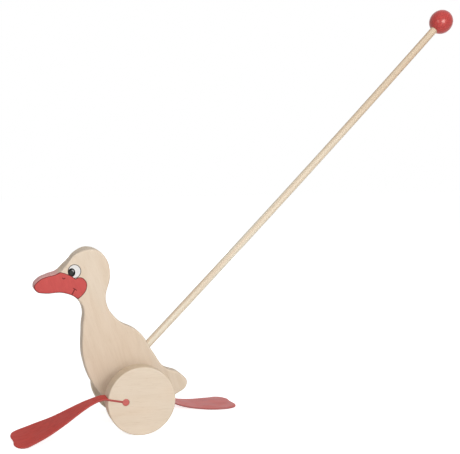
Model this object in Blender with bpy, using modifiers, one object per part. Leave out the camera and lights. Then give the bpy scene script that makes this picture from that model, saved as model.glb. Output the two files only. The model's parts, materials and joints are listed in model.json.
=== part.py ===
"""Duck push toy: a flat wooden duck on two wheels, pushed by a stick, whose rubber feet slap the floor.

Metres, +Z up. The duck looks along -X, and its left side faces -Y. The origin is on the floor, under the
middle of the toy's length. Inside the toy, places are taken from the floor under the axle.
"""

import math

import bmesh
import bpy
import numpy as np
from mathutils import Matrix, Vector

# Clearances
GLUE_GAP = 0.0003
RUNNING_GAP = 0.0004
FLOOR_GAP = 0.0003
CUT_PAST = 0.002

# Body, sawn from one board
BOARD_THICKNESS = 0.020
BODY_EDGE_ROUND = 0.0013

# Wheels and axle
WHEEL_RADIUS = 0.0425
WHEEL_THICKNESS = 0.0215
WHEEL_EDGE_ROUND = 0.002
WIDTH_OVER_WHEELS = 0.126
AXLE_RADIUS = 0.005
AXLE_SEAT_DEPTH = 0.014
SPACER_RADIUS = 0.009

# Rubber feet, each held by a round bead in a hole of its wheel
FOOT_THICKNESS = 0.002
FOOT_LENGTH = 0.1459
FOOT_STRIP_LENGTH = 0.036
FOOT_OUTER_SPREAD = 0.0208
FOOT_TO_BODY = 0.002
FOOT_BEND_STEP = 0.004
FOOT_UNCUT_TIP = 0.010
BEAD_RADIUS = 0.0042
BEAD_CIRCLE_RADIUS = 0.0201
BEAD_TILT = math.radians(1.4)
SLOT_TILT = math.radians(12.8)

# How each foot comes down to the floor: how far from the rim it lies level, how stiffly it leaves the slot
# and meets the floor, how far its toes are twisted, and how far that holds its middle line off the floor
LEFT_LANDING = 0.1115
LEFT_LEAVING = 0.022
LEFT_LEVELLING = 0.035
LEFT_TWIST = math.radians(5)
LEFT_LIFT = 0.0010
RIGHT_LANDING = 0.068
RIGHT_LEAVING = 0.008
RIGHT_LEVELLING = 0.068
RIGHT_TWIST = math.radians(0.5)
RIGHT_LIFT = 0.0002

# Stick and knob: the stick is slightly bowed, so its slope grows from where it enters the body to its top
STICK_RADIUS = 0.005
STICK_LENGTH = 0.6445
STICK_SLOPE = math.radians(44.52)
STICK_BEND = math.radians(1.8)
STICK_PIECES = 16
DOWEL_CHAMFER = 0.0008
STICK_SOCKET_DEPTH = 0.040
STICK_ENTRY = (0.0227, 0.0578)
KNOB_RADIUS = 0.0160
KNOB_HALF_LENGTH = 0.0172
KNOB_SEAT_PAST_CENTRE = 0.003

# Facets
ROUND_STEPS = 32
WHEEL_STEPS = 96
EDGE_STEPS = 4
OUTLINE_STEPS = 6
PATH_STEPS = 400
SLOPE_STEP = 0.0005
WELD_DISTANCE = 1e-6
TURN_WELD_DISTANCE = 1e-5
FLAT_ANGLE = 0.001
SMOOTH_ANGLE = math.radians(35)
ROUNDED_CORNER_ANGLE = math.radians(50)

# The duck's outline, from the axle's centre: along the board and up
BODY_OUTLINE = (
    (-0.0530, 0.1858),
    (-0.0342, 0.1746),
    (-0.0274, 0.1535),
    (-0.0326, 0.1160),
    (-0.0172, 0.0918),
    (0.0087, 0.0759),
    (0.0281, 0.0470),
    (0.0420, 0.0277),
    (0.0630, 0.0177),
    (0.0724, 0.0043),
    (0.0567, -0.0097),
    (0.0180, -0.0205),
    (-0.0220, -0.0170),
    (-0.0440, 0.0023),
    (-0.0620, 0.0425),
    (-0.0630, 0.0864),
    (-0.0616, 0.1074),
    (-0.0677, 0.1216),
    (-0.0851, 0.1297),
    (-0.1100, 0.1309),
    (-0.1182, 0.1340),
    (-0.1216, 0.1405),
    (-0.1158, 0.1487),
    (-0.1050, 0.1530),
    (-0.0910, 0.1560),
    (-0.0823, 0.1652),
    (-0.0691, 0.1808),
)

# The web's edge, from the strip to the toes, as shares of its length and of its spread to that side
INNER_WEB = ((0.143, 0.39), (0.455, 0.67), (0.789, 1.0), (0.951, 0.91), (1.0, 0.67), (0.986, 0.19))
OUTER_WEB = ((0.133, 0.60), (0.438, 0.92), (0.773, 0.995), (0.886, 1.0), (0.979, 0.40))

WHEEL_CENTRE_Y = (WIDTH_OVER_WHEELS - WHEEL_THICKNESS) / 2
WHEEL_INNER_FACE_Y = WIDTH_OVER_WHEELS / 2 - WHEEL_THICKNESS
BODY_FACE_Y = BOARD_THICKNESS / 2
STRIP_HALF_WIDTH = WHEEL_THICKNESS / 2
FOOT_INNER_SPREAD = WHEEL_CENTRE_Y - BODY_FACE_Y - FOOT_TO_BODY
SLOT_HALF_WIDTH = FOOT_THICKNESS / 2 + GLUE_GAP
BEAD_HOLE_RADIUS = BEAD_RADIUS + GLUE_GAP
SLOT_LEAN = SLOT_TILT - BEAD_TILT
BEAD_TO_RIM = math.sqrt(
    WHEEL_RADIUS**2 - (BEAD_CIRCLE_RADIUS * math.sin(SLOT_LEAN)) ** 2
) - BEAD_CIRCLE_RADIUS * math.cos(SLOT_LEAN)
STICK_BEND_RADIUS = STICK_LENGTH / STICK_BEND
STICK_BEYOND_ENTRY = STICK_LENGTH - STICK_SOCKET_DEPTH + GLUE_GAP

# Colour and roughness
WOOD = ((0.78, 0.66, 0.50), 0.55)
PALE_WOOD = ((0.80, 0.67, 0.46), 0.5)
RED_PAINT = ((0.55, 0.06, 0.055), 0.3)
RED_RUBBER = ((0.45, 0.065, 0.055), 0.5)


def clear_scene():
    for obj in list(bpy.data.objects):
        bpy.data.objects.remove(obj)


def new_collection(name):
    collection = bpy.data.collections.new(name)
    bpy.context.scene.collection.children.link(collection)
    return collection


def principled(name, colour, roughness):
    material = bpy.data.materials.new(name)
    material.use_nodes = True
    shader = material.node_tree.nodes["Principled BSDF"]
    shader.inputs["Base Color"].default_value = (*colour, 1)
    shader.inputs["Roughness"].default_value = roughness
    return material


def add_object(name, data, collection, parent=None, location=(0, 0, 0), rotation=(0, 0, 0)):
    obj = bpy.data.objects.new(name, data)
    collection.objects.link(obj)
    obj.parent = parent
    obj.location = location
    obj.rotation_euler = rotation
    return obj


def finish(obj, look):
    obj.data.materials.append(principled(obj.name, *look))
    return obj


def flat_plate(outline, thickness, corners=()):
    """A closed mesh in the XY plane: a smooth outline through the points, sharp at the corners named."""
    curve = bpy.data.curves.new("outline", "CURVE")
    curve.dimensions = "2D"
    curve.fill_mode = "BOTH"
    curve.extrude = thickness / 2
    curve.resolution_u = OUTLINE_STEPS
    spline = curve.splines.new("BEZIER")
    spline.bezier_points.add(len(outline) - 1)
    spline.use_cyclic_u = True
    for point, (x, y) in zip(spline.bezier_points, outline):
        handle = "VECTOR" if (x, y) in corners else "AUTO"
        point.co = (x, y, 0)
        point.handle_left_type = handle
        point.handle_right_type = handle
    guide = add_object("outline", curve, bpy.context.scene.collection)
    graph = bpy.context.evaluated_depsgraph_get()
    mesh = bpy.data.meshes.new_from_object(guide.evaluated_get(graph))
    bpy.data.objects.remove(guide)
    shape = bmesh.new()
    shape.from_mesh(mesh)
    bmesh.ops.remove_doubles(shape, verts=shape.verts, dist=WELD_DISTANCE)
    bmesh.ops.dissolve_limit(shape, angle_limit=FLAT_ANGLE, verts=shape.verts, edges=shape.edges)
    bmesh.ops.recalc_face_normals(shape, faces=shape.faces)
    shape.to_mesh(mesh)
    shape.free()
    return mesh


def turned(name, profile, steps, collection, **placing):
    """A profile of (radius, height) points, from its top down, turned about Z."""
    mesh = bpy.data.meshes.new(name)
    points = [(radius, 0, height) for radius, height in profile]
    edges = [(i, i + 1) for i in range(len(points) - 1)]
    mesh.from_pydata(points, edges, [])
    obj = add_object(name, mesh, collection, **placing)
    screw = obj.modifiers.new("Turn", "SCREW")
    screw.steps = steps
    screw.render_steps = steps
    screw.use_merge_vertices = True
    screw.merge_threshold = TURN_WELD_DISTANCE
    screw.use_smooth_shade = True
    return obj


def dowel_profile(radius, length, pieces):
    """A rod with chamfered ends, whose side is cut into pieces along its length."""
    top = length / 2
    end_radius = radius - DOWEL_CHAMFER
    side = [(radius, height) for height in np.linspace(top - DOWEL_CHAMFER, DOWEL_CHAMFER - top, pieces + 1)]
    return [(0, top), (end_radius, top), *side, (end_radius, -top), (0, -top)]


def cylinder_mesh(name, radius, length, steps):
    mesh = bpy.data.meshes.new(name)
    shape = bmesh.new()
    bmesh.ops.create_cone(
        shape, cap_ends=True, segments=steps, radius1=radius, radius2=radius, depth=length
    )
    shape.to_mesh(mesh)
    shape.free()
    return mesh


def box_mesh(name, size):
    mesh = bpy.data.meshes.new(name)
    shape = bmesh.new()
    bmesh.ops.create_cube(shape, size=1, matrix=Matrix.Diagonal((*size, 1)))
    shape.to_mesh(mesh)
    shape.free()
    return mesh


def add_cutter(name, mesh, collection, **placing):
    cutter = add_object(name, mesh, collection, **placing)
    cutter.hide_render = True
    cutter.display_type = "WIRE"
    return cutter


def boolean(obj, other, operation="DIFFERENCE"):
    modifier = obj.modifiers.new(other.name, "BOOLEAN")
    modifier.operation = operation
    modifier.object = other


def smooth(mesh):
    mesh.shade_smooth()
    mesh.set_sharp_from_angle(angle=SMOOTH_ANGLE)


def make_body(parts, cutters, toy):
    mesh = flat_plate(BODY_OUTLINE, BOARD_THICKNESS)
    smooth(mesh)
    upright = (math.pi / 2, 0, 0)
    place = (0, 0, WHEEL_RADIUS)
    body = add_object("body", mesh, parts, parent=toy, location=place, rotation=upright)
    rounding = body.modifiers.new("Rounded edges", "BEVEL")
    rounding.width = BODY_EDGE_ROUND
    rounding.segments = EDGE_STEPS
    rounding.limit_method = "ANGLE"
    rounding.angle_limit = ROUNDED_CORNER_ANGLE

    bore = cylinder_mesh(
        "axle_bore", AXLE_RADIUS + RUNNING_GAP, BOARD_THICKNESS + 2 * CUT_PAST, ROUND_STEPS
    )
    boolean(body, add_cutter("axle_bore", bore, cutters, parent=toy, location=place, rotation=upright))

    socket_length = 2 * STICK_SOCKET_DEPTH
    socket = cylinder_mesh("stick_socket", STICK_RADIUS + GLUE_GAP, socket_length, ROUND_STEPS)
    boolean(body, add_cutter("stick_socket", socket, cutters, parent=toy, **on_stick(0)))
    return finish(body, WOOD)


def on_stick(distance):
    """Location and rotation on the stick's bowed axis, this far beyond where it enters the body."""
    slope = STICK_SLOPE + distance / STICK_BEND_RADIUS
    along, up = STICK_ENTRY
    along += STICK_BEND_RADIUS * (math.sin(slope) - math.sin(STICK_SLOPE))
    up += STICK_BEND_RADIUS * (math.cos(STICK_SLOPE) - math.cos(slope))
    return {"location": (along, 0, WHEEL_RADIUS + up), "rotation": (0, math.pi / 2 - slope, 0)}


def make_stick(parts, toy):
    stick = turned(
        "stick",
        dowel_profile(STICK_RADIUS, STICK_LENGTH, STICK_PIECES),
        ROUND_STEPS,
        parts,
        parent=toy,
        **on_stick(STICK_BEYOND_ENTRY - STICK_LENGTH / 2),
    )
    bow = stick.modifiers.new("Bow", "SIMPLE_DEFORM")
    bow.deform_method = "BEND"
    bow.deform_axis = "Y"
    bow.angle = -STICK_BEND
    return finish(stick, PALE_WOOD)


def make_knob(parts, toy):
    """A ball a little longer than wide, with a blind hole that takes the stick's end."""
    hole_radius = STICK_RADIUS + GLUE_GAP
    last_angle = math.pi - math.asin(hole_radius / KNOB_RADIUS)
    profile = [(0, KNOB_HALF_LENGTH)]
    for step in range(1, ROUND_STEPS // 2 + 1):
        angle = last_angle * step / (ROUND_STEPS // 2)
        profile.append((KNOB_RADIUS * math.sin(angle), KNOB_HALF_LENGTH * math.cos(angle)))
    profile += [(hole_radius, KNOB_SEAT_PAST_CENTRE), (0, KNOB_SEAT_PAST_CENTRE)]
    knob = turned(
        "knob",
        profile,
        ROUND_STEPS,
        parts,
        parent=toy,
        **on_stick(STICK_BEYOND_ENTRY + GLUE_GAP - KNOB_SEAT_PAST_CENTRE),
    )
    return finish(knob, RED_PAINT)


def make_axle(parts, axle_joint):
    length = 2 * (WHEEL_INNER_FACE_Y + AXLE_SEAT_DEPTH - GLUE_GAP)
    axle = turned(
        "axle",
        dowel_profile(AXLE_RADIUS, length, pieces=1),
        ROUND_STEPS,
        parts,
        parent=axle_joint,
        rotation=(math.pi / 2, 0, 0),
    )
    return finish(axle, PALE_WOOD)


def make_spacer(name, side, parts, axle_joint):
    """A sleeve on the axle that fills the space from the body to a wheel."""
    length = WHEEL_INNER_FACE_Y - BODY_FACE_Y - 2 * GLUE_GAP
    bore = AXLE_RADIUS + GLUE_GAP
    half = length / 2
    profile = [
        (bore, half),
        (SPACER_RADIUS, half),
        (SPACER_RADIUS, -half),
        (bore, -half),
        (bore, half),
    ]
    spacer = turned(
        name,
        profile,
        ROUND_STEPS,
        parts,
        parent=axle_joint,
        location=(0, side * (WHEEL_INNER_FACE_Y + BODY_FACE_Y) / 2, 0),
        rotation=(math.pi / 2, 0, 0),
    )
    return finish(spacer, PALE_WOOD)


def around_axle(radius, angle):
    return Vector((radius * math.cos(angle), 0, radius * math.sin(angle)))


def bead_place(heading):
    return around_axle(BEAD_CIRCLE_RADIUS, heading - BEAD_TILT)


def make_wheel(name, side, heading, parts, cutters, axle_joint):
    """A disc with a blind hole for the axle, and a saw cut from the rim to the hole for the bead."""
    top = WHEEL_THICKNESS / 2
    flat = WHEEL_RADIUS - WHEEL_EDGE_ROUND
    bore = AXLE_RADIUS + GLUE_GAP
    quarter = [math.pi / 2 * step / EDGE_STEPS for step in range(EDGE_STEPS + 1)]
    upper = [
        (flat + WHEEL_EDGE_ROUND * math.sin(a), top - WHEEL_EDGE_ROUND * (1 - math.cos(a)))
        for a in quarter
    ]
    lower = [(radius, -height) for radius, height in reversed(upper)]
    seat = [(bore, -top), (bore, AXLE_SEAT_DEPTH - top), (0, AXLE_SEAT_DEPTH - top)]
    wheel = turned(
        name,
        [(0, top), *upper, *lower, *seat],
        WHEEL_STEPS,
        parts,
        parent=axle_joint,
        location=(0, side * WHEEL_CENTRE_Y, 0),
        rotation=(-side * math.pi / 2, 0, 0),
    )

    cut_width = WHEEL_THICKNESS + 2 * CUT_PAST
    slot_angle = heading - SLOT_TILT
    bead_centre = bead_place(heading) + Vector((0, side * WHEEL_CENTRE_Y, 0))
    slot_length = BEAD_TO_RIM + CUT_PAST
    slot = add_cutter(
        name + "_slot",
        box_mesh(name + "_slot", (slot_length, cut_width, 2 * SLOT_HALF_WIDTH)),
        cutters,
        parent=axle_joint,
        location=bead_centre + around_axle(slot_length / 2, slot_angle),
        rotation=(0, -slot_angle, 0),
    )
    bead_hole = add_cutter(
        name + "_bead_hole",
        cylinder_mesh(name + "_bead_hole", BEAD_HOLE_RADIUS, cut_width, ROUND_STEPS),
        cutters,
        parent=axle_joint,
        location=bead_centre,
        rotation=(math.pi / 2, 0, 0),
    )
    boolean(wheel, slot)
    boolean(wheel, bead_hole)
    return finish(wheel, WOOD)


def foot_outline():
    """The flat foot: along it from the bead's centre, and across it towards the body.

    A plain strip widens to a web with two toes. The inner toe is the longer one.
    """
    strip = STRIP_HALF_WIDTH
    web_length = FOOT_LENGTH - FOOT_STRIP_LENGTH
    inner = [
        (FOOT_STRIP_LENGTH + web_length * along, FOOT_INNER_SPREAD * across) for along, across in INNER_WEB
    ]
    outer = [
        (FOOT_STRIP_LENGTH + web_length * along, -FOOT_OUTER_SPREAD * across) for along, across in OUTER_WEB
    ]
    inner_strip = [(0, strip), (FOOT_STRIP_LENGTH / 2, strip), (FOOT_STRIP_LENGTH, strip)]
    outer_strip = [(along, -across) for along, across in reversed(inner_strip)]
    return [*inner_strip, *inner, *reversed(outer), *outer_strip]


def foot_path(heading, landing, leaving, levelling, lift):
    """The foot's bend, from the axle's centre: distances from the bead, and the places there."""
    outward = np.array(around_axle(1, heading - SLOT_TILT).xz)
    level = np.array((math.copysign(1, outward[0]), 0))
    bead = np.array(bead_place(heading).xz)
    rim = bead + outward * BEAD_TO_RIM
    floor = FLOOR_GAP + FOOT_THICKNESS / 2 + lift - WHEEL_RADIUS
    landed = np.array((rim[0] + level[0] * landing, floor))
    handles = (rim, rim + outward * leaving, landed - level * levelling, landed)
    places = [bead]
    for t in np.linspace(0, 1, PATH_STEPS):
        weights = ((1 - t) ** 3, 3 * t * (1 - t) ** 2, 3 * t**2 * (1 - t), t**3)
        places.append(sum(w * h for w, h in zip(weights, handles)))
    places.append(landed + level * FOOT_LENGTH)
    places = np.array(places)
    steps = np.diff(places, axis=0)
    distance = np.concatenate(([0], np.cumsum(np.hypot(*steps.T))))
    return distance, places


def make_foot(name, side, heading, bend, twist, parts, cutters, axle_joint):
    """A rubber flap, cut flat, bent along its path and twisted, with the round bead on its end."""
    outline = foot_outline()
    mesh = flat_plate(outline, FOOT_THICKNESS, corners=(outline[0], outline[-1]))
    distance, places = foot_path(heading, *bend)
    shape = bmesh.new()
    shape.from_mesh(mesh)
    for cut in np.arange(BEAD_TO_RIM, FOOT_LENGTH - FOOT_UNCUT_TIP, FOOT_BEND_STEP):
        geometry = [*shape.verts, *shape.edges, *shape.faces]
        bmesh.ops.bisect_plane(
            shape, geom=geometry, plane_co=(cut, 0, 0), plane_no=(1, 0, 0), dist=WELD_DISTANCE
        )
    for vertex in shape.verts:
        along, across, off = vertex.co
        ahead = along + SLOPE_STEP
        behind = along - SLOPE_STEP
        x = np.interp(along, distance, places[:, 0])
        z = np.interp(along, distance, places[:, 1])
        run = np.interp(ahead, distance, places[:, 0]) - np.interp(behind, distance, places[:, 0])
        rise = np.interp(ahead, distance, places[:, 1]) - np.interp(behind, distance, places[:, 1])
        upwards = side / math.hypot(run, rise)
        angle = twist * np.clip((along - BEAD_TO_RIM) / (FOOT_LENGTH - BEAD_TO_RIM), 0, 1)
        inwards = across * math.cos(angle) - off * math.sin(angle)
        raised = across * math.sin(angle) + off * math.cos(angle)
        y = side * (WHEEL_CENTRE_Y - inwards)
        vertex.co = (x - raised * rise * upwards, y, z + raised * run * upwards)
    bmesh.ops.recalc_face_normals(shape, faces=shape.faces)
    shape.to_mesh(mesh)
    shape.free()
    smooth(mesh)
    foot = add_object(name, mesh, parts, parent=axle_joint)

    bead = add_cutter(
        name + "_bead",
        cylinder_mesh(name + "_bead", BEAD_RADIUS, WHEEL_THICKNESS, ROUND_STEPS),
        cutters,
        parent=axle_joint,
        location=bead_place(heading) + Vector((0, side * WHEEL_CENTRE_Y, 0)),
        rotation=(math.pi / 2, 0, 0),
    )
    boolean(foot, bead, "UNION")
    return finish(foot, RED_RUBBER)


def stand_over_origin(toy, parts):
    """Moves the toy along X until the middle of its length is over the origin."""
    graph = bpy.context.evaluated_depsgraph_get()
    along = []
    for obj in parts.objects:
        if obj.type == "MESH":
            solid = obj.evaluated_get(graph)
            along += [(solid.matrix_world @ vertex.co).x for vertex in solid.data.vertices]
    toy.location.x = -(min(along) + max(along)) / 2


def main():
    clear_scene()
    parts = new_collection("duck_push_toy")
    cutters = new_collection("cutters")
    toy = add_object("toy", None, parts)
    axle_joint = add_object("axle_joint", None, parts, parent=toy, location=(0, 0, WHEEL_RADIUS))

    make_body(parts, cutters, toy)
    make_stick(parts, toy)
    make_knob(parts, toy)
    make_axle(parts, axle_joint)
    left_bend = (LEFT_LANDING, LEFT_LEAVING, LEFT_LEVELLING, LEFT_LIFT)
    right_bend = (RIGHT_LANDING, RIGHT_LEAVING, RIGHT_LEVELLING, RIGHT_LIFT)
    sides = (
        ("left", -1, math.pi, left_bend, LEFT_TWIST),
        ("right", 1, 0, right_bend, RIGHT_TWIST),
    )
    for label, side, heading, bend, twist in sides:
        make_spacer(label + "_spacer", side, parts, axle_joint)
        make_wheel(label + "_wheel", side, heading, parts, cutters, axle_joint)
        make_foot(label + "_foot", side, heading, bend, twist, parts, cutters, axle_joint)
    stand_over_origin(toy, parts)


main()
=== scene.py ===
"""Looks of the duck push toy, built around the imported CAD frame. Metres, in the record's frame.

Places written as (x, z) pairs are taken from the axle's line and from the floor, where no comment says
otherwise. The near side of the toy, which the photo shows, is -Y, and the far side is +Y.
"""

import json
import math

import bmesh
import bpy
import numpy as np
from mathutils import Matrix, Vector
from mathutils.geometry import delaunay_2d_cdt


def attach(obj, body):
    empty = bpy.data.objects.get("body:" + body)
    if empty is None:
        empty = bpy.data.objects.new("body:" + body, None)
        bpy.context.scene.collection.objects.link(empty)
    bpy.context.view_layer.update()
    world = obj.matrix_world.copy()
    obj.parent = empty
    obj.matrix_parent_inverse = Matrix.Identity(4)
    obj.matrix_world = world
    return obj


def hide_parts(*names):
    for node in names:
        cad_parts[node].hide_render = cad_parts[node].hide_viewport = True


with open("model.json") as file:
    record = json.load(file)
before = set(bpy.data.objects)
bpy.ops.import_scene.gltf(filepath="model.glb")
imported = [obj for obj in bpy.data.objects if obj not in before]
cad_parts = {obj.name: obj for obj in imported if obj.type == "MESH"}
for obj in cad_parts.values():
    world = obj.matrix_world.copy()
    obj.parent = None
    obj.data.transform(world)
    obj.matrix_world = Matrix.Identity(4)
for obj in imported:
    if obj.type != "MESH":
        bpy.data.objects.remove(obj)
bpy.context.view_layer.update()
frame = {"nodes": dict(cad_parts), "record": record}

NEAR = -1
FAR = 1
AXLE = Vector(frame["record"]["behaviour"]["joints"][0]["pos_m"])
WHEEL_RADIUS = AXLE.z

# Half the board's thickness, and the rounding of its edge, which is larger than part.py's
BOARD_FACE = 0.010
BOARD_ROUND = 0.0024

# The body's holes, where part.py has them, but tight on the stick. Its entry is from the axle's centre
AXLE_BORE_RADIUS = 0.0054
STICK_ENTRY = Vector((0.0227, 0, 0.0578))
STICK_SLOPE = math.radians(44.52)
SOCKET_DEPTH = 0.040
TIGHT_RADIUS = 0.00503

# The knob, in part.py's shape, with a tight hole whose mouth is softened
KNOB_CENTRE = Vector(frame["record"]["mounts"][0]["pos_m"])
KNOB_AXIS = Vector(frame["record"]["mounts"][0]["axis"])
KNOB_RADIUS = 0.0160
KNOB_HALF_LENGTH = 0.0172
KNOB_SEAT = 0.003
KNOB_MOUTH = 0.0004

# The wheels and the feet, as part.py has them
WHEEL_THICKNESS = 0.0215
WHEEL_CENTRE = 0.05225
FOOT_THICKNESS = 0.002
FOOT_LENGTH = 0.1459
STRIP_LENGTH = 0.036
OUTER_SPREAD = 0.0208
INNER_SPREAD = 0.04025
BEAD_RADIUS = 0.0042
BEAD_CIRCLE = 0.0201
BEAD_TILT = math.radians(1.4)
SLOT_TILT = math.radians(12.8)
FLOOR_GAP = 0.0003

# The two edges of a foot's web, as shares of its length and of its spread
INNER_WEB = ((0.143, 0.39), (0.455, 0.67), (0.789, 1.0), (0.951, 0.91), (1.0, 0.67), (0.986, 0.19))
OUTER_WEB = ((0.133, 0.60), (0.438, 0.92), (0.773, 0.995), (0.886, 1.0), (0.979, 0.40))

# Landing, leaving, levelling and lift of each foot's bend, then its twist
LEFT_BEND = ((0.1115, 0.022, 0.035, 0.0010), math.radians(5))
RIGHT_BEND = ((0.068, 0.008, 0.068, 0.0002), math.radians(0.5))

# What part.py leaves out: a strip that fills its slot, up to just inside the wheel's rim, and soft edges
SLOT_FILL = 0.00256
SLOT_END = 0.0005
SLOT_EDGE = 0.00015
FOOT_EDGE = 0.0008
BEAD_EDGE = 0.0006

# The duck's outline from the axle's centre: part.py's, with a beak tip and a chin that are 1 mm fuller
BODY_OUTLINE = (
    (-0.0530, 0.1858), (-0.0342, 0.1746), (-0.0274, 0.1535), (-0.0326, 0.1160), (-0.0172, 0.0918),
    (0.0087, 0.0759), (0.0281, 0.0470), (0.0420, 0.0277), (0.0630, 0.0177), (0.0724, 0.0043),
    (0.0567, -0.0097), (0.0180, -0.0205), (-0.0220, -0.0170), (-0.0440, 0.0023), (-0.0620, 0.0425),
    (-0.0630, 0.0864), (-0.0616, 0.1074), (-0.0684, 0.1209), (-0.0851, 0.1297), (-0.1103, 0.1305),
    (-0.1189, 0.1331), (-0.1220, 0.1403), (-0.1158, 0.1487), (-0.1050, 0.1530), (-0.0910, 0.1560),
    (-0.0823, 0.1652), (-0.0691, 0.1808),
)

# Where the saw leaned, and how far that moves the outline of the far face or of the near face
SAW_LEANS = {
    FAR: (np.array((-0.0885, 0.2015)), np.array((-0.0017, 0.0023))),
    NEAR: (np.array((-0.0600, 0.2275)), np.array((0.0006, -0.0026))),
}
LEAN_REACH = 0.0145

# The painted face: its lines, the half widths and half heights of its ellipses, and its strokes' widths
BEAK_REAR = (
    (-0.1000, 0.2020), (-0.0911, 0.1987), (-0.0860, 0.1975), (-0.0813, 0.1956), (-0.0757, 0.1928),
    (-0.0713, 0.1892), (-0.0677, 0.1909), (-0.0638, 0.1908), (-0.0601, 0.1882), (-0.0577, 0.1839),
    (-0.0574, 0.1805), (-0.0588, 0.1747), (-0.0636, 0.1687), (-0.0680, 0.1650), (-0.0740, 0.1600),
)
BEAK_CUSP = 5
EYE = (-0.0723, 0.1993)
EYE_LINE_SIZE = (0.0083, 0.0090)
EYE_WHITE_SIZE = (0.0073, 0.0080)
PUPIL = (-0.0759, 0.1980)
PUPIL_SIZE = (0.0046, 0.0054)
IRIS = (-0.0762, 0.1977)
IRIS_SIZE = (0.0024, 0.0027)
GLINT = ((-0.0757, 0.2009), (-0.0745, 0.2008), (-0.0738, 0.1997), (-0.0737, 0.1984))
NOSTRIL = ((-0.0875, 0.1921), (-0.0858, 0.1906), (-0.0836, 0.1917))
SMILE = ((-0.0764, 0.1698), (-0.0749, 0.1722), (-0.0736, 0.1746), (-0.0726, 0.1770))
SMILE_END = ((-0.0746, 0.1785), (-0.0723, 0.1771), (-0.0696, 0.1752))
STROKE_WIDTH = 0.0013
SMILE_WIDTH = 0.0014

# The share of its width that a stroke keeps at its ends
STROKE_TIP = 0.35

# How far the beak's line and paint keep from the board's outline, and go past the beak's rear line
BEAK_LINE_EDGE = 0.00012
BEAK_LINE_PAST = 0.0005
BEAK_PAINT_EDGE = 0.0009
BEAK_PAINT_PAST = -0.0004

# On the beak's upper side both keep further off: how far, and where that starts and how soon it is in full
BEAK_TOP_EDGE = 0.0011
BEAK_TOP_HEIGHT = 0.183
BEAK_TOP_RISE = 0.004
BEAK_TOP_REAR = -0.092
BEAK_TOP_RUN = 0.008

# The soft edge of a film of paint, and how far its underside goes into the wood
FILM_EDGE = 0.00035
FILM_ROOT = 0.0001

# Rows of points inside an outline, as shares of its edge's rounding, and the spacing of points further in
BOARD_RINGS = (0.04, 0.15, 0.35, 0.65, 1)
BOARD_SPACING = 0.004
FOOT_RINGS = (0.1, 0.3, 0.6, 1)
FOOT_SPACING = 0.003
FILM_RINGS = (0.3, 1, 2.5)
FILM_SPACING = 0.0015

# Steps from point to point of a smooth line, along a foot's bend, and round and along turned forms
BOARD_STEPS = 12
FOOT_STEPS = 10
LINE_STEPS = 8
BEND_STEPS = 400
ELLIPSE_STEPS = 64
HOLE_STEPS = 64
KNOB_STEPS = 72
KNOB_RINGS = 48
MOUTH_RINGS = 5
BEAD_STEPS = 48
BEAD_RINGS = 6

# The angle from the knob's axis at which its rings start, which leaves a small flat tip
KNOB_FIRST_RING = 0.02

# How far a foot's path starts behind its bead, and how far to each side its slope is measured
BEHIND_BEAD = 0.01
SLOPE_STEP = 0.0005

# Tolerances: no length (squared), on the outline, one point, one flat point, and how flat a face's normal is
NO_LENGTH = 1e-18
ON_OUTLINE = 1e-7
SAME_POINT = 1e-6
SAME_FLAT_POINT = 1e-9
FLAT = 0.9999

# The share of a ring's depth that its points have to keep from the outline
RING_SLACK = 0.97

# Edges that turn by more than this many degrees look sharp
HARD_SHARP = 40
SOFT_SHARP = 60

# What Blender's Weighted Normal modifier reads to tell flat faces from roundings
FACE_STRENGTH = "__mod_weightednormals_faceweight"
STRONG_FACE = 16384
WEAK_FACE = -16384


# Shapes

def smooth_line(points, closed, steps, corners=()):
    """Points along a smooth curve through the given ones, as an array."""
    curve = bpy.data.curves.new("guide", "CURVE")
    curve.dimensions = "2D"
    curve.resolution_u = steps
    spline = curve.splines.new("BEZIER")
    spline.bezier_points.add(len(points) - 1)
    spline.use_cyclic_u = closed
    for index, (point, (x, y)) in enumerate(zip(spline.bezier_points, points)):
        handle = "VECTOR" if index in corners else "AUTO"
        point.co = (x, y, 0)
        point.handle_left_type = handle
        point.handle_right_type = handle
    guide = bpy.data.objects.new("guide", curve)
    bpy.context.scene.collection.objects.link(guide)
    bpy.context.view_layer.update()
    mesh = guide.to_mesh()
    line = np.array([vertex.co[:2] for vertex in mesh.vertices])
    guide.to_mesh_clear()
    bpy.data.objects.remove(guide)
    bpy.data.curves.remove(curve)
    return line


def square_to(line):
    """Unit vectors square to an open line, on its left."""
    along = np.gradient(line, axis=0)
    along /= np.linalg.norm(along, axis=1)[:, None]
    return np.column_stack((-along[:, 1], along[:, 0]))


def edge_distance(points, polygon):
    """How far each point is from the closed polygon's nearest side."""
    sides = np.roll(polygon, -1, axis=0) - polygon
    squares = np.maximum((sides**2).sum(1), NO_LENGTH)
    best = np.full(len(points), np.inf)
    for start, side, square in zip(polygon, sides, squares):
        share = np.clip(((points - start) @ side) / square, 0, 1)
        gap = points - start - share[:, None] * side
        best = np.minimum(best, np.hypot(gap[:, 0], gap[:, 1]))
    return best


def inside(points, polygon):
    """Which points are within the closed polygon."""
    x, y = points[:, 0], points[:, 1]
    found = np.zeros(len(points), bool)
    for (start_x, start_y), (end_x, end_y) in zip(polygon, np.roll(polygon, -1, axis=0)):
        if start_y != end_y:
            crossing = (end_x - start_x) * (y - start_y) / (end_y - start_y) + start_x
            found ^= ((start_y > y) != (end_y > y)) & (x < crossing)
    return found


def inset(polygon, depth):
    """The polygon with each point moved inwards, square to the outline."""
    along = np.roll(polygon, -1, axis=0) - np.roll(polygon, 1, axis=0)
    along /= np.linalg.norm(along, axis=1)[:, None]
    x, y = polygon.T
    area = np.sum(x * np.roll(y, -1) - np.roll(x, -1) * y)
    inwards = np.column_stack((-along[:, 1], along[:, 0])) * np.sign(area)
    return polygon + inwards * depth


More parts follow.
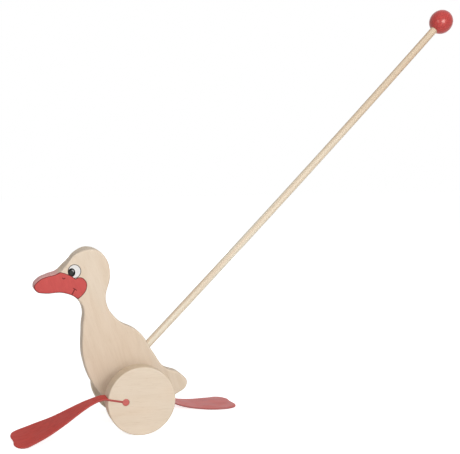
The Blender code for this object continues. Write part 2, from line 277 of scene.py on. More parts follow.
def filled(polygon, rings, spacing):
    """Triangles that fill a polygon: (points, triangles). Rings are depths that get points of their own."""
    extra = []
    for depth in rings:
        ring = inset(polygon, depth)
        extra.append(ring[inside(ring, polygon) & (edge_distance(ring, polygon) > RING_SLACK * depth)])
    low, high = polygon.min(0), polygon.max(0)
    rows = np.arange(low[1], high[1], spacing * math.sqrt(3) / 2)
    for index, row in enumerate(rows):
        line = np.arange(low[0] + spacing / 2 * (index % 2), high[0], spacing)
        points = np.column_stack((line, np.full(len(line), row)))
        points = points[inside(points, polygon)]
        if len(points):
            extra.append(points[edge_distance(points, polygon) > max(rings) + spacing / 2])
    points = [Vector(point) for point in np.vstack([polygon, *extra])]
    outline = [list(range(len(polygon)))]
    keep_inside = 1
    found = delaunay_2d_cdt(points, [], outline, keep_inside, SAME_FLAT_POINT)
    return np.array([point[:] for point in found[0]]), [list(face) for face in found[2]]


def two_sided(points, triangles, polygon, place):
    """A closed shell: the triangles as a top and a bottom that meet along the polygon.

    place(points, depths, side) gives the places of the top (side 1) or the bottom (side -1).
    """
    depths = edge_distance(points, polygon)
    on_edge = depths < ON_OUTLINE
    top = place(points, depths, 1)
    bottom = place(points, depths, -1)
    shape = bmesh.new()
    upper = [shape.verts.new(point) for point in top]
    lower = [vertex if edge and np.allclose(above, below) else shape.verts.new(below)
             for vertex, above, below, edge in zip(upper, top, bottom, on_edge)]
    for triangle in triangles:
        shape.faces.new([upper[corner] for corner in triangle])
        shape.faces.new([lower[corner] for corner in reversed(triangle)])
    open_edges = [edge for edge in shape.edges if edge.is_boundary]
    if open_edges:
        bmesh.ops.bridge_loops(shape, edges=open_edges)
    bmesh.ops.recalc_face_normals(shape, faces=shape.faces)
    return shape


def turned(profile, steps, place):
    """A closed turned form: (radius, height) points from its top down, on an axis that place() sets."""
    shape = bmesh.new()
    loops = []
    for radius, height in profile:
        loops.append([
            shape.verts.new(place(radius * math.cos(angle), radius * math.sin(angle), height))
            for angle in np.linspace(0, 2 * math.pi, steps, endpoint=False)
        ])
    shape.faces.new(loops[0])
    shape.faces.new(list(reversed(loops[-1])))
    for upper, lower in zip(loops, loops[1:]):
        for this in range(steps):
            following = (this + 1) % steps
            shape.faces.new((upper[this], lower[this], lower[following], upper[following]))
    bmesh.ops.recalc_face_normals(shape, faces=shape.faces)
    return shape


def drill(centre, direction, radius, length):
    """A round bar whose middle is at the centre, to cut a hole with."""
    shape = bmesh.new()
    bar_turn = direction.to_track_quat("Z", "Y").to_matrix().to_4x4()
    bmesh.ops.create_cone(
        shape, cap_ends=True, segments=HOLE_STEPS, radius1=radius, radius2=radius, depth=length,
        matrix=Matrix.Translation(centre) @ bar_turn,
    )
    return shape


def new_object(name, shape):
    """An object with the shape's mesh, in the scene."""
    mesh = bpy.data.meshes.new(name)
    shape.to_mesh(mesh)
    shape.free()
    made = bpy.data.objects.new(name, mesh)
    bpy.context.scene.collection.objects.link(made)
    return made


def combined(shape, others, operation):
    """The shape joined with the others (UNION) or cut by them (DIFFERENCE)."""
    work = new_object("work", shape)
    tools = [new_object("tool", other) for other in others]
    for tool in tools:
        step = work.modifiers.new("Step", "BOOLEAN")
        step.operation = operation
        step.solver = "EXACT"
        step.object = tool
    bpy.context.view_layer.update()
    found = bmesh.new()
    found.from_object(work, bpy.context.evaluated_depsgraph_get())
    for used in (work, *tools):
        mesh = used.data
        bpy.data.objects.remove(used)
        bpy.data.meshes.remove(mesh)
    return found


def new_piece(name, shape, body, look, sharp=HARD_SHARP):
    """A smooth-shaded piece that rides a body."""
    piece = new_object(name, shape)
    piece.data.shade_smooth()
    piece.data.set_sharp_from_angle(angle=math.radians(sharp))
    piece.data.materials.append(look)
    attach(piece, body)
    return piece


def stand_in(node, shape, body, look):
    """A smooth-shaded piece that replaces a CAD node. Its faces that look along Y are shaded flat."""
    piece = new_piece(node + "_visual", shape, body, look)
    strength = piece.data.attributes.new(FACE_STRENGTH, "INT", "FACE")
    for face in piece.data.polygons:
        strength.data[face.index].value = STRONG_FACE if abs(face.normal.y) > FLAT else WEAK_FACE
    weighted = piece.modifiers.new("Even faces", "WEIGHTED_NORMAL")
    weighted.mode = "FACE_AREA"
    weighted.keep_sharp = True
    weighted.use_face_influence = True
    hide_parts(node)
    return piece


def finer(node, body, look):
    """A welded, smooth-shaded piece in the CAD node's exact shape, which it replaces."""
    shape = bmesh.new()
    shape.from_mesh(frame["nodes"][node].data)
    bmesh.ops.remove_doubles(shape, verts=shape.verts, dist=SAME_POINT)
    stand_in(node, shape, body, look)


# Board and knob

BOARD = smooth_line([(x, z + WHEEL_RADIUS) for x, z in BODY_OUTLINE], True, BOARD_STEPS)


def board_height(depths):
    """How far the board's surface is from its middle plane, at these distances from its outline."""
    round_in = np.clip(1 - depths / BOARD_ROUND, 0, 1)
    return BOARD_FACE - BOARD_ROUND * (1 - np.sqrt(1 - round_in**2))


def on_board(flat, heights, side):
    """Places at these heights from the board's middle plane, on its near or far side."""
    centre, shift = SAW_LEANS[side]
    away = np.hypot(*(flat - centre).T)
    flat = flat + shift * np.exp(-((away / LEAN_REACH) ** 2))[:, None]
    return np.column_stack((flat[:, 0] + AXLE.x, side * heights, flat[:, 1]))


def make_body(look):
    """The board with its rounded edge and the holes that take the axle and the stick."""
    points, triangles = filled(BOARD, [share * BOARD_ROUND for share in BOARD_RINGS], BOARD_SPACING)

    def place(flat, depths, side):
        return on_board(flat, board_height(depths), side)

    shape = two_sided(points, triangles, BOARD, place)
    along_stick = Vector((math.cos(STICK_SLOPE), 0, math.sin(STICK_SLOPE)))
    axle_bore = drill(AXLE, Vector((0, 1, 0)), AXLE_BORE_RADIUS, 4 * BOARD_FACE)
    stick_socket = drill(AXLE + STICK_ENTRY, along_stick, TIGHT_RADIUS, 2 * SOCKET_DEPTH)
    shape = combined(shape, (axle_bore, stick_socket), "DIFFERENCE")
    stand_in("body", shape, "duck", look)


def make_knob(look):
    """The ball, a little longer than wide, with a softened mouth to the hole that holds the stick."""
    mouth = math.pi - math.asin((TIGHT_RADIUS + KNOB_MOUTH) / KNOB_RADIUS)
    profile = [(KNOB_RADIUS * math.sin(angle), KNOB_HALF_LENGTH * math.cos(angle))
               for angle in np.linspace(KNOB_FIRST_RING, mouth, KNOB_RINGS)]
    rim_radius, rim_height = profile[-1]
    profile += [(rim_radius - KNOB_MOUTH * math.sin(angle), rim_height + KNOB_MOUTH * (1 - math.cos(angle)))
                for angle in np.linspace(0, math.pi / 2, MOUTH_RINGS)[1:]]
    profile.append((TIGHT_RADIUS, KNOB_SEAT))
    knob_turn = KNOB_AXIS.to_track_quat("Z", "Y").to_matrix()
    shape = turned(profile, KNOB_STEPS, lambda x, y, z: KNOB_CENTRE + knob_turn @ Vector((x, y, z)))
    return stand_in("knob", shape, "duck", look)


# Feet

SLOT_LEAN = SLOT_TILT - BEAD_TILT
BEAD_TO_RIM = math.sqrt(WHEEL_RADIUS**2 - (BEAD_CIRCLE * math.sin(SLOT_LEAN)) ** 2)
BEAD_TO_RIM -= BEAD_CIRCLE * math.cos(SLOT_LEAN)


def around_axle(radius, angle):
    """The (x, z) place at this radius and angle, from the axle's centre."""
    return np.array((radius * math.cos(angle), radius * math.sin(angle)))


def foot_path(heading, landing, leaving, levelling, lift):
    """Distance from the bead and places, from the axle's centre, along the foot's bend."""
    outward = around_axle(1, heading - SLOT_TILT)
    level = np.array((math.copysign(1, outward[0]), 0))
    bead = around_axle(BEAD_CIRCLE, heading - BEAD_TILT)
    rim = bead + outward * BEAD_TO_RIM
    floor = FLOOR_GAP + FOOT_THICKNESS / 2 + lift - WHEEL_RADIUS
    landed = np.array((rim[0] + level[0] * landing, floor))
    handles = (rim, rim + outward * leaving, landed - level * levelling, landed)
    share = np.linspace(0, 1, BEND_STEPS)[:, None]
    bend = (1 - share) ** 3 * handles[0] + 3 * share * (1 - share) ** 2 * handles[1]
    bend += 3 * share**2 * (1 - share) * handles[2] + share**3 * handles[3]
    places = np.vstack([bead - outward * BEHIND_BEAD, bend, landed + level * FOOT_LENGTH])
    distance = np.concatenate(([0], np.cumsum(np.hypot(*np.diff(places, axis=0).T)))) - BEHIND_BEAD
    return distance, places


def foot_outline():
    """The flat foot's outline: along it from the bead, and across it towards the body."""
    strip = WHEEL_THICKNESS / 2 - SLOT_EDGE
    web = FOOT_LENGTH - STRIP_LENGTH
    inner = [(STRIP_LENGTH + web * along, INNER_SPREAD * across) for along, across in INNER_WEB]
    outer = [(STRIP_LENGTH + web * along, -OUTER_SPREAD * across) for along, across in OUTER_WEB]
    inner_strip = [(0, strip), (STRIP_LENGTH / 2, strip), (STRIP_LENGTH, strip)]
    outer_strip = [(along, -across) for along, across in reversed(inner_strip)]
    points = [*inner_strip, *inner, *reversed(outer), *outer_strip]
    return smooth_line(points, True, FOOT_STEPS, corners=(0, len(points) - 1))


def make_flap(side, heading, bend, twist):
    """The bent and twisted rubber flap, with its strip and softly rounded edges."""
    outline = foot_outline()
    points, triangles = filled(outline, [share * FOOT_EDGE for share in FOOT_RINGS], FOOT_SPACING)
    distance, places = foot_path(heading, *bend)

    def on_path(along):
        return np.interp(along, distance, places[:, 0]), np.interp(along, distance, places[:, 1])

    def place(flat, depths, upper):
        along, across = flat[:, 0], flat[:, 1]
        in_slot = along < BEAD_TO_RIM - SLOT_END
        half = np.where(in_slot, SLOT_FILL, FOOT_THICKNESS) / 2
        soft = np.where(in_slot, SLOT_EDGE, FOOT_EDGE)
        round_in = np.clip(1 - depths / soft, 0, 1)
        off = upper * (half - soft * (1 - np.sqrt(1 - round_in**2)))
        x, z = on_path(along)
        ahead_x, ahead_z = on_path(along + SLOPE_STEP)
        behind_x, behind_z = on_path(along - SLOPE_STEP)
        run, rise = ahead_x - behind_x, ahead_z - behind_z
        upwards = side / np.hypot(run, rise)
        angle = twist * np.clip((along - BEAD_TO_RIM) / (FOOT_LENGTH - BEAD_TO_RIM), 0, 1)
        inwards = across * np.cos(angle) - off * np.sin(angle)
        raised = across * np.sin(angle) + off * np.cos(angle)
        y = side * (WHEEL_CENTRE - inwards)
        from_axle = np.column_stack((x - raised * rise * upwards, y, z + raised * run * upwards))
        return from_axle + np.array(AXLE)

    return two_sided(points, triangles, outline, place)


def make_bead(centre):
    """The round bead that holds a foot in its wheel, with softened rims."""
    half = WHEEL_THICKNESS / 2
    profile = [(BEAD_RADIUS - BEAD_EDGE * (1 - math.sin(angle)), half - BEAD_EDGE * (1 - math.cos(angle)))
               for angle in np.linspace(0, math.pi / 2, BEAD_RINGS)]
    profile += [(radius, -height) for radius, height in reversed(profile)]
    return turned(profile, BEAD_STEPS, lambda x, y, z: centre + Vector((x, z, y)))


def make_foot(name, side, heading, bend, twist, look, bead_look):
    """A flap and its bead in one mesh, in which the bead has a look of its own."""
    middle = around_axle(BEAD_CIRCLE, heading - BEAD_TILT)
    centre = AXLE + Vector((middle[0], side * WHEEL_CENTRE, middle[1]))
    shape = combined(make_flap(side, heading, bend, twist), (make_bead(centre),), "UNION")
    for face in shape.faces:
        from_bead = face.calc_center_median() - centre
        if math.hypot(from_bead.x, from_bead.z) < BEAD_RADIUS:
            face.material_index = 1
    piece = new_piece(name + "_visual", shape, "wheelset", look, sharp=SOFT_SHARP)
    piece.data.materials.append(bead_look)
    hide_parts(name)


# Painted face

def paint_film(name, polygon, low, high, side, look):
    """A film of paint on one face of the board and its rounding, from low to high above the wood."""
    points, triangles = filled(polygon, [share * FILM_EDGE for share in FILM_RINGS], FILM_SPACING)

    def place(flat, depths, upper):
        across = board_height(edge_distance(flat, BOARD))
        swell = np.sqrt(1 - (1 - np.clip(depths / FILM_EDGE, 0, 1)) ** 2)
        lift = low + (high - low) * swell if upper > 0 else np.full(len(flat), -FILM_ROOT)
        return on_board(flat, across + lift, side)

    return new_piece(name, two_sided(points, triangles, polygon, place), "duck", look, sharp=SOFT_SHARP)


def stroke(points, width):
    """The outline of a brush stroke along the points, narrower at its ends."""
    line = smooth_line(points, False, LINE_STEPS)
    share = np.linspace(-1, 1, len(line))
    half = width / 2 * (STROKE_TIP + (1 - STROKE_TIP) * np.sqrt(1 - share**2))[:, None]
    across = square_to(line) * half
    return np.vstack([line + across, (line - across)[::-1]])


def ellipse(centre, size):
    """An ellipse's outline, with its half width and half height as its size."""
    angle = np.linspace(0, 2 * math.pi, ELLIPSE_STEPS, endpoint=False)
    return np.column_stack((centre[0] + size[0] * np.cos(angle), centre[1] + size[1] * np.sin(angle)))


def beak_outline(edge, past):
    """The part of the board in front of the beak's rear line, drawn in from the board's outline by the edge.

    Past is how far it goes beyond the rear line.
    """
    above_tip = np.clip((BOARD[:, 1] - BEAK_TOP_HEIGHT) / BEAK_TOP_RISE, 0, 1)
    ahead = np.clip((BEAK_TOP_REAR - BOARD[:, 0]) / BEAK_TOP_RUN, 0, 1)
    rim = inset(BOARD, edge + BEAK_TOP_EDGE * (above_tip * ahead)[:, None])
    rear = smooth_line(BEAK_REAR, False, LINE_STEPS, corners=(BEAK_CUSP,))
    rear = rear + square_to(rear) * past
    within = np.flatnonzero(inside(rear, rim))
    rear = rear[within[0]:within[-1] + 1]
    first = np.argmin(np.hypot(*(rim - rear[-1]).T))
    last = np.argmin(np.hypot(*(rim - rear[0]).T))
    ways = []
    for step in (1, -1):
        count = (step * (last - first)) % len(rim) + 1
        ways.append(np.array([rim[(first + step * index) % len(rim)] for index in range(count)]))
    front = min(ways, key=lambda way: way[:, 0].mean())
    return np.vstack([rear, front[1:-1]])


def make_face(side, looks):
    """The eye and the beak on one side of the board."""
    label = "left" if side == NEAR else "right"
    beak_line = beak_outline(BEAK_LINE_EDGE, BEAK_LINE_PAST)
    beak = beak_outline(BEAK_PAINT_EDGE, BEAK_PAINT_PAST)
    # Each film's name, outline, lowest and highest place above the wood, and look
    films = (
        ("eye_line", ellipse(EYE, EYE_LINE_SIZE), 0.00002, 0.00006, "eye_line"),
        ("eye_white", ellipse(EYE, EYE_WHITE_SIZE), 0.00006, 0.00012, "eye_white"),
        ("pupil", ellipse(PUPIL, PUPIL_SIZE), 0.00012, 0.00017, "pupil"),
        ("iris", ellipse(IRIS, IRIS_SIZE), 0.00017, 0.00020, "iris"),
        ("glint", stroke(GLINT, STROKE_WIDTH), 0.00020, 0.00023, "glint"),
        ("beak_line", beak_line, 0.00020, 0.00026, "beak_line"),
        ("beak", beak, 0.00026, 0.00033, "beak"),
        ("nostril", stroke(NOSTRIL, STROKE_WIDTH), 0.00033, 0.00037, "mark"),
        ("smile", stroke(SMILE, SMILE_WIDTH), 0.00033, 0.00037, "mark"),
        ("smile_end", stroke(SMILE_END, STROKE_WIDTH), 0.00034, 0.00038, "mark"),
    )
    for name, polygon, low, high, look in films:
        paint_film(f"{label}_{name}", polygon, low, high, side, looks[look])


# Materials

# The depth of every bump at full strength, and each material's strength
BUMP_DEPTH = 0.0002
BOARD_BUMP = 0.2
DOWEL_BUMP = 0.02
PAINT_BUMP = 0.15
KNOB_BUMP = 0.02
RUBBER_BUMP = 0.2

# Tones in linear colour: pale, middle and dark
BODY_TONES = ((0.785, 0.66, 0.525), (0.770, 0.643, 0.506), (0.742, 0.611, 0.472))
STICK_TONES = ((0.83, 0.745, 0.60), (0.80, 0.695, 0.54), (0.76, 0.61, 0.46))
RUBBER_TONES = ((0.64, 0.084, 0.068), (0.60, 0.077, 0.062), (0.51, 0.062, 0.052))
BEAD_TONES = ((0.62, 0.155, 0.135), (0.58, 0.135, 0.118), (0.52, 0.11, 0.098))
KNOB_TONES = ((0.52, 0.052, 0.048), (0.49, 0.047, 0.044), (0.45, 0.042, 0.040))

# Single tones
WORN_EDGE = (0.83, 0.73, 0.60)
# Painted shade and red reflection: a darker pink on the board's rounding by the beak
BEAK_SHADE_AND_REFLECTION = (0.70, 0.335, 0.325)
BARE_WOOD = (0.77, 0.60, 0.46)
RUBBER_BLOOM = (0.64, 0.14, 0.12)
# Painted shade on the feet's sides that face along Y: the left foot's, and the right foot's, which is darker
# as a painted shadow
LEFT_SIDE_SHADE = (0.46, 0.098, 0.088)
RIGHT_SIDE_SHADOW = (0.33, 0.105, 0.098)
KNOB_SHINE = (1.0, 0.82, 0.75, 1)

# Tints that multiply a tone. Those of a board's edge, for its end grain and painted shade, are a pale and a
# dark one
PATCH_TINT = (1.0, 0.95, 0.91)
FIBRE_TINT = (0.90, 0.865, 0.83)
FLECK_TINT = (0.86, 0.79, 0.72)
DOWEL_FIBRE_TINT = (0.91, 0.87, 0.835)
HANDLED_TINT = (0.865, 0.79, 0.73)
# End grain and painted shade on the edges: darker and greyer on the body, warmer on the wheels
BODY_EDGE_GRAIN_AND_SHADE = ((0.96, 0.965, 0.97), (0.85, 0.845, 0.84))
WHEEL_EDGE_GRAIN_AND_SHADE = ((1.0, 0.96, 0.89), (0.91, 0.84, 0.74))
STROKE_SHADE = 0.78

# Which way the grain runs, as turns that bring it onto X
BODY_GRAIN = (0, math.radians(-72), 0)
WHEEL_GRAIN = (0, math.radians(-3), 0)
STICK_GRAIN = (0, math.radians(45.52), 0)
AXLE_GRAIN = (0, 0, math.radians(90))
NO_TURN = (0, 0, 0)

# Shifts that give each piece a stretch of the pattern to itself
BODY_SHIFT = (0.11, 0.03, 0.07)
WHEEL_SHIFT = (0.41, 0.23, 0.0)
STICK_SHIFT = (0.0, 0.31, 0.12)
AXLE_SHIFT = (0.27, 0.0, 0.05)

# How fine each pattern is along the grain, or along X, and in the two other directions
WANDER = (8, 24, 24)
BANDS = (5, 150, 120)
FIBRES = (45, 1500, 1500)
FLECKS = (110, 1250, 1250)
PATCHES = (8, 19, 19)
PORES = (1100, 300, 1100)
SAW_MARKS = (330, 25, 330)
SCUFFS = (160, 160, 160)
DOWEL_BANDS = (5, 330, 330)
DOWEL_FIBRES = (12, 800, 800)
BRUSH_STROKES = (60, 700, 700)
PAINT_BLOTCH = (120, 160, 160)
PAINT_SPECKS = (1500, 1500, 1500)
KNOB_GRAIN = (30, 260, 260)
KNOB_CLOUD = (70, 90, 90)
RUBBER_STREAKS = (14, 300, 300)
RUBBER_CLOUD = (55, 70, 70)
RUBBER_SKIN = (2200, 2200, 2200)

# How far the bands of the wood wander across the grain and into the board
WANDER_ACROSS = 7.0
WANDER_DEEP = 4.0

# How soft the bands are, the noise levels between which a fleck comes up, and those of most other patterns
BODY_SOFTNESS = 0.22
WHEEL_SOFTNESS = 0.32
FLECK_RANGE = (0.62, 0.76)
MIDDLE = (0.3, 0.7)

# Shares of a normal along Y that mark a board's edge, worn corner and rounding, and a foot's sides with
# painted shade
EDGE_TO_FACE = (0.3, 0.85)
ONTO_CORNER = (0.55, 0.85)
OFF_CORNER = (0.9, 0.995)
OFF_ROUNDING = (0.93, 0.999)
ONTO_SHADED_SIDE = (0.5, 0.9)

# Where the painted shade and red reflection by the beak fade out, the stick turns warmer, and the knob's hole
# is bare
REFLECTION_REAR = (AXLE.x - 0.0955, AXLE.x - 0.0885)
REFLECTION_BOTTOM = (0.168, 0.176)
HANDLED_FROM = (0.25, 0.46)
BARE_RADIUS = (0.0054, 0.0056)
BARE_END = (0.008, 0.009)

# Specular levels of the wood and of the knob's paint
WOOD_SPECULAR = 0.3
KNOB_SPECULAR = 0.42


class Graph:
    """A short way to write a material's nodes."""

    def __init__(self, name):
        self.material = bpy.data.materials.new(name)
        self.material.use_nodes = True
        self.tree = self.material.node_tree
        self.shader = self.tree.nodes["Principled BSDF"]

    def node(self, kind, inputs=(), **settings):
        node = self.tree.nodes.new(kind)
        for key, value in settings.items():
            setattr(node, key, value)
        for key, value in dict(inputs).items():
            self.put(node.inputs[key], value)
        return node

    def put(self, socket, value):
        """Links another node's output to the socket, or sets a constant on it."""
        if isinstance(value, bpy.types.NodeSocket):
            self.tree.links.new(value, socket)
        else:
            socket.default_value = value

    def math(self, operation, first, second=0.0):
        return self.node("ShaderNodeMath", {0: first, 1: second}, operation=operation).outputs[0]

    def times(self, first, *others):
        """All the values multiplied together."""
        for other in others:
            first = self.math("MULTIPLY", first, other)
        return first

    def vector(self, operation, first, second=(0, 0, 0)):
        return self.node("ShaderNodeVectorMath", {0: first, 1: second}, operation=operation)

    def ramp(self, value, *stops):
        node = self.node("ShaderNodeValToRGB", {"Fac": value})
        elements = node.color_ramp.elements
        while len(elements) < len(stops):
            elements.new(0.5)
        for element, (place, colour) in zip(elements, stops):
            element.position = place
            element.color = (*colour, 1)
        return node.outputs["Color"]

    def level(self, value, low, high, to_low=0.0, to_high=1.0):
        """The value eased from to_low, where it is low, to to_high, where it is high."""
        node = self.node(
            "ShaderNodeMapRange",
            {"Value": value, "From Min": low, "From Max": high, "To Min": to_low, "To Max": to_high},
            interpolation_type="SMOOTHSTEP",
        )
        return node.outputs["Result"]

    def fade(self, value, low, high):
        """1 where the value is low, eased to 0 where it is high."""
        return self.level(value, low, high, 1.0, 0.0)

    def mix(self, share, first, second, blend="MIX"):
        """The first colour, with the second one blended over it by the share."""
        node = self.node("ShaderNodeMix", data_type="RGBA", blend_type=blend)
        self.put(node.inputs["Factor"], share)
        colours = [socket for socket in node.inputs if socket.type == "RGBA"]
        for socket, value in zip(colours, (first, second)):
            self.put(socket, value if isinstance(value, bpy.types.NodeSocket) else (*value, 1))
        return [socket for socket in node.outputs if socket.type == "RGBA"][0]

    def tint(self, share, colour, by):
        """The colour, multiplied by another one by the share."""
        return self.mix(share, colour, by, "MULTIPLY")

    def noise(self, vector, detail=3.0, roughness=0.5):
        node = self.node(
            "ShaderNodeTexNoise",
            {"Vector": vector, "Scale": 1.0, "Detail": detail, "Roughness": roughness},
        )
        return node.outputs["Fac"]

    def place(self, turn, stretch, shift=(0, 0, 0)):
        """Object coordinates, turned and then stretched."""
        coordinates = self.node("ShaderNodeTexCoord").outputs["Object"]
        rotated = self.node("ShaderNodeMapping", {"Vector": coordinates, "Location": shift, "Rotation": turn})
        stretched = self.node("ShaderNodeMapping", {"Vector": rotated.outputs["Vector"], "Scale": stretch})
        return stretched.outputs["Vector"]

    def axes(self, output):
        """X, Y and Z of the object's coordinates or of its normal."""
        source = self.node("ShaderNodeTexCoord").outputs[output]
        return self.node("ShaderNodeSeparateXYZ", {"Vector": source}).outputs

    def facing(self):
        """How much the surface looks along Y, either way."""
        return self.math("ABSOLUTE", self.axes("Normal")["Y"])

    def finish(self, colour, roughness, specular, height, bump):
        """Feeds the shader and returns the material. Bump is the strength with which the height shows."""
        self.put(self.shader.inputs["Base Color"], colour)
        self.put(self.shader.inputs["Roughness"], roughness)
        self.shader.inputs["Specular IOR Level"].default_value = specular
        node = self.node("ShaderNodeBump", {"Height": height, "Strength": bump, "Distance": BUMP_DEPTH})
        self.tree.links.new(node.outputs["Normal"], self.shader.inputs["Normal"])
        return self.material


def wood(name, turn, tones, shift, softness):
    """Pale varnished hardwood with growth bands, fine fibres and short dark flecks along the grain.

    The turn brings the grain onto X. The larger the softness, the fainter the bands.
    """
    graph = Graph(name)
    wander = graph.noise(graph.place(turn, WANDER, shift), 2.0)
    push = graph.node(
        "ShaderNodeCombineXYZ",
        {"Y": graph.times(wander, WANDER_ACROSS), "Z": graph.times(wander, WANDER_DEEP)},
    )
    bent = graph.vector("ADD", graph.place(turn, BANDS, shift), push.outputs[0])
    bands = graph.noise(bent.outputs["Vector"], 2.0, 0.45)
    fibres = graph.noise(graph.place(turn, FIBRES, shift), 3.0, 0.6)
    flecks = graph.noise(graph.place(turn, FLECKS, shift), 1.0, 0.4)
    patches = graph.noise(graph.place(turn, PATCHES, shift), 2.0)

    pale, middle, dark = tones
    banded = graph.level(bands, 0.5 - softness, 0.5 + softness)
    colour = graph.ramp(banded, (0.0, dark), (0.5, middle), (1.0, pale))
    colour = graph.tint(graph.level(patches, 0.48, 0.72, 0.0, 0.5), colour, PATCH_TINT)
    colour = graph.tint(graph.level(fibres, 0.38, 0.75, 0.0, 0.4), colour, FIBRE_TINT)
    colour = graph.tint(graph.level(flecks, *FLECK_RANGE, 0.0, 0.45), colour, FLECK_TINT)
    roughness = graph.level(fibres, 0.2, 0.8, 0.46, 0.62)
    height = graph.math("SUBTRACT", fibres, graph.level(flecks, *FLECK_RANGE, 0.0, 0.6))
    return graph, colour, roughness, height


def board_wood(name, turn, tones, shift, softness, edge_grain_and_shade_tints, beak_reflection=False):
    """The wood of a board cut by a saw, whose faces look along Y, with finer end grain and painted shade
    round its edge.
    """
    graph, colour, roughness, height = wood(name, turn, tones, shift, softness)
    facing = graph.facing()
    pores = graph.noise(graph.place(NO_TURN, PORES, shift), 2.0)
    saw_marks = graph.noise(graph.place(NO_TURN, SAW_MARKS, shift), 2.0)
    # End grain and painted shade on the board's edge, where the surface turns away from Y
    edge_pale_tint, edge_dark_tint = edge_grain_and_shade_tints
    edge_grain_and_shade = graph.mix(graph.level(pores, *MIDDLE, 0.0, 0.7), edge_pale_tint, edge_dark_tint)
    edge_grain_and_shade = graph.mix(graph.level(saw_marks, 0.4, 0.7, 0.0, 0.4), edge_grain_and_shade, edge_dark_tint)
    colour = graph.mix(graph.fade(facing, *EDGE_TO_FACE), colour, graph.tint(1.0, colour, edge_grain_and_shade))
    corner = graph.times(graph.level(facing, *ONTO_CORNER), graph.fade(facing, *OFF_CORNER))
    scuffs = graph.noise(graph.place(NO_TURN, SCUFFS, shift), 3.0)
    worn = graph.times(corner, graph.level(scuffs, 0.45, 0.65, 0.0, 0.45))
    colour = graph.mix(worn, colour, WORN_EDGE)
    # Painted shade and red reflection of the beak's paint, in patches on the rounding in front of the beak
    if beak_reflection:
        spot = graph.axes("Object")
        ahead = graph.fade(spot["X"], *REFLECTION_REAR)
        above = graph.level(spot["Z"], *REFLECTION_BOTTOM)
        rounding = graph.fade(facing, *OFF_ROUNDING)
        patchy = graph.level(scuffs, *MIDDLE, 0.75, 1.0)
        colour = graph.mix(graph.times(ahead, above, rounding, patchy), colour, BEAK_SHADE_AND_REFLECTION)
    return graph.finish(colour, roughness, WOOD_SPECULAR, height, BOARD_BUMP)


def dowel_wood(name, turn, tones, shift):
    """A dowel's wood: long soft bands, fine fibres along its length, and a warmer end near the hand."""
    graph = Graph(name)
    bands = graph.noise(graph.place(turn, DOWEL_BANDS, shift), 2.0, 0.5)
    fibres = graph.noise(graph.place(turn, DOWEL_FIBRES, shift), 2.0, 0.5)
    pale, middle, dark = tones
    colour = graph.ramp(graph.level(bands, *MIDDLE), (0.0, dark), (0.5, middle), (1.0, pale))
    colour = graph.tint(graph.level(fibres, 0.42, 0.75, 0.0, 0.3), colour, DOWEL_FIBRE_TINT)
    colour = graph.tint(graph.level(graph.axes("Object")["Z"], *HANDLED_FROM), colour, HANDLED_TINT)
    roughness = graph.level(fibres, 0.2, 0.8, 0.46, 0.6)
    return graph.finish(colour, roughness, WOOD_SPECULAR, fibres, DOWEL_BUMP)


def face_paint(name, tone, thin_tone, rough, specular):
    """Brushed enamel on wood: brush marks, thinner patches that let the wood warm it, fine pores."""
    graph = Graph(name)
    strokes = graph.noise(graph.place(BODY_GRAIN, BRUSH_STROKES), 3.0, 0.55)
    blotch = graph.noise(graph.place(BODY_GRAIN, PAINT_BLOTCH), 3.0)
    specks = graph.noise(graph.place(BODY_GRAIN, PAINT_SPECKS), 1.0)
    shaded = [STROKE_SHADE * part for part in tone]
    colour = graph.mix(graph.level(blotch, 0.35, 0.7, 0.0, 0.8), tone, thin_tone)
    colour = graph.mix(graph.level(strokes, 0.3, 0.75, 0.0, 0.3), colour, shaded)
    roughness = graph.level(blotch, *MIDDLE, rough - 0.05, rough + 0.08)
    height = graph.math("ADD", strokes, graph.times(specks, 0.35))
    return graph.finish(colour, roughness, specular, height, PAINT_BUMP)


def knob_paint(name, tones, turn):
    """Glossy dipped enamel with a faint grain under it. The inside of the stick's hole is bare wood."""
    graph = Graph(name)
    grain = graph.noise(graph.place(turn, KNOB_GRAIN), 2.0)
    cloud = graph.noise(graph.place(turn, KNOB_CLOUD), 2.0)
    pale, middle, dark = tones
    colour = graph.mix(graph.level(cloud, *MIDDLE), middle, pale)
    colour = graph.mix(graph.level(grain, 0.45, 0.75, 0.0, 0.6), colour, dark)
    coordinates = graph.node("ShaderNodeTexCoord").outputs["Object"]
    offset = graph.vector("SUBTRACT", coordinates, KNOB_CENTRE).outputs["Vector"]
    along = graph.vector("DOT_PRODUCT", offset, KNOB_AXIS).outputs["Value"]
    reach = graph.vector("LENGTH", offset).outputs["Value"]
    away = graph.math("SQRT", graph.math("SUBTRACT", graph.times(reach, reach), graph.times(along, along)))
    bare = graph.times(graph.fade(away, *BARE_RADIUS), graph.fade(along, *BARE_END))
    colour = graph.mix(bare, colour, BARE_WOOD)
    roughness = graph.math("ADD", graph.level(cloud, *MIDDLE, 0.25, 0.3), graph.times(bare, 0.3))
    graph.shader.inputs["Specular Tint"].default_value = KNOB_SHINE
    return graph.finish(colour, roughness, KNOB_SPECULAR, grain, KNOB_BUMP)


